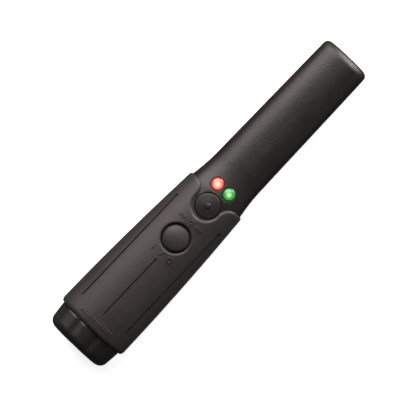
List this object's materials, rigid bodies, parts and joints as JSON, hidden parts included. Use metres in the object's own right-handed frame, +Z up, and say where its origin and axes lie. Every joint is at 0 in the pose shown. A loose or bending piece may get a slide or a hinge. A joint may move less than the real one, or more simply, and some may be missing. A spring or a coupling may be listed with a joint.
{
  "type": "pinpointer probe",
  "caption": "Handheld metal-detecting probe: a flat search paddle on a rubber-gripped handle, with power and torch buttons, red and green lamps, and a torch in the pull-off battery cap.",
  "frame": {"origin": "under the middle of the probe, on the surface its flat back rests on", "axes": "+Y along the probe to the search tip, +Z up out of the button side, +X to the right of someone who looks at the buttons with the tip up"},
  "size_m": [0.0496, 0.241, 0.03],
  "materials": {
    "housing_plastic": "fine moulded grain, warm charcoal",
    "grip_rubber": "soft-touch elastomer, satin",
    "button_rubber": "soft-touch elastomer, satin",
    "cap_plastic": "semi-gloss black",
    "red_lens": "translucent, lit",
    "green_lens": "translucent, lit",
    "clear_lens": "clear polycarbonate",
    "reflector": "vacuum metallised",
    "steel": "plated",
    "brass": "satin",
    "copper_wire": "enamelled copper",
    "ferrite": "matt dark grey",
    "pale_plastic": "natural nylon",
    "circuit_board": "solder-masked glass epoxy",
    "black_plastic": "moulded",
    "foam": "closed-cell foam",
    "seal_rubber": "silicone",
    "battery_can": "printed steel can",
    "red_wire": "insulation",
    "black_wire": "insulation"
  },
  "bodies": {
    "housing": {"front_shell": "housing_plastic", "rear_shell": "housing_plastic", "grip_sleeve": "grip_rubber", "red_lens": "red_lens", "red_led": "red_lens", "green_lens": "green_lens", "green_led": "green_lens", "shell_screw_1": "steel", "shell_screw_2": "steel", "shell_screw_3": "steel", "shell_screw_4": "steel", "board_screw_1": "steel", "board_screw_2": "steel", "supply_capacitor": "steel", "vibration_motor": "steel", "contact_clip_plus": "steel", "contact_clip_minus": "steel", "torch_tab_plus": "brass", "torch_tab_minus": "brass", "receive_winding_near": "copper_wire", "transmit_winding": "copper_wire", "receive_winding_far": "copper_wire", "coil_lead_1": "copper_wire", "coil_lead_2": "copper_wire", "ferrite_core": "ferrite", "coil_former": "pale_plastic", "main_board": "circuit_board", "power_switch": "black_plastic", "torch_switch": "black_plastic", "processor_chip": "black_plastic", "amplifier_chip": "black_plastic", "buzzer": "black_plastic", "battery_bulkhead": "black_plastic", "motor_saddle": "foam", "coil_pad_near": "foam", "coil_pad_far": "foam", "battery_lead_red": "red_wire", "torch_lead_red": "red_wire", "battery_lead_black": "black_wire", "torch_lead_black": "black_wire"},
    "power_key": {"power_button": "button_rubber", "power_switch_plunger": "pale_plastic"},
    "torch_key": {"torch_button": "housing_plastic", "torch_switch_plunger": "pale_plastic"},
    "cap": {"battery_cap": "cap_plastic", "cap_seal": "seal_rubber", "torch_lens": "clear_lens", "torch_reflector": "reflector", "torch_lamp": "clear_lens", "torch_board": "circuit_board", "torch_pin_plus": "brass", "torch_pin_minus": "brass", "battery_pad": "foam"},
    "battery": {"battery": "battery_can", "battery_stud_plus": "steel", "battery_stud_minus": "steel"},
    "motor_weight": {"eccentric_weight": "brass", "motor_shaft": "steel"}
  },
  "joints": [
    {"name": "power_press", "type": "slide", "parent": "housing", "child": "power_key", "axis": [0, 0, -1], "range_m": [0, 0.0008], "stiffness_N_per_m": 1500},
    {"name": "torch_press", "type": "slide", "parent": "housing", "child": "torch_key", "axis": [0, 0, -1], "range_m": [0, 0.0008], "stiffness_N_per_m": 1500},
    {"name": "cap_pull", "type": "slide", "parent": "housing", "child": "cap", "axis": [0, -1, 0], "range_m": [0, 0.09]},
    {"name": "battery_slide", "type": "slide", "parent": "housing", "child": "battery", "axis": [0, -1, 0], "range_m": [0, 0.06]},
    {"name": "weight_spin", "type": "hinge", "parent": "housing", "child": "motor_weight", "pos_m": [-0.0054, -0.03, 0.0094], "axis": [0, 1, 0], "continuous": true}
  ],
  "couplings": [
    {"joint": "battery_slide", "follows": "cap_pull", "ratio": 0.6666}
  ]
}
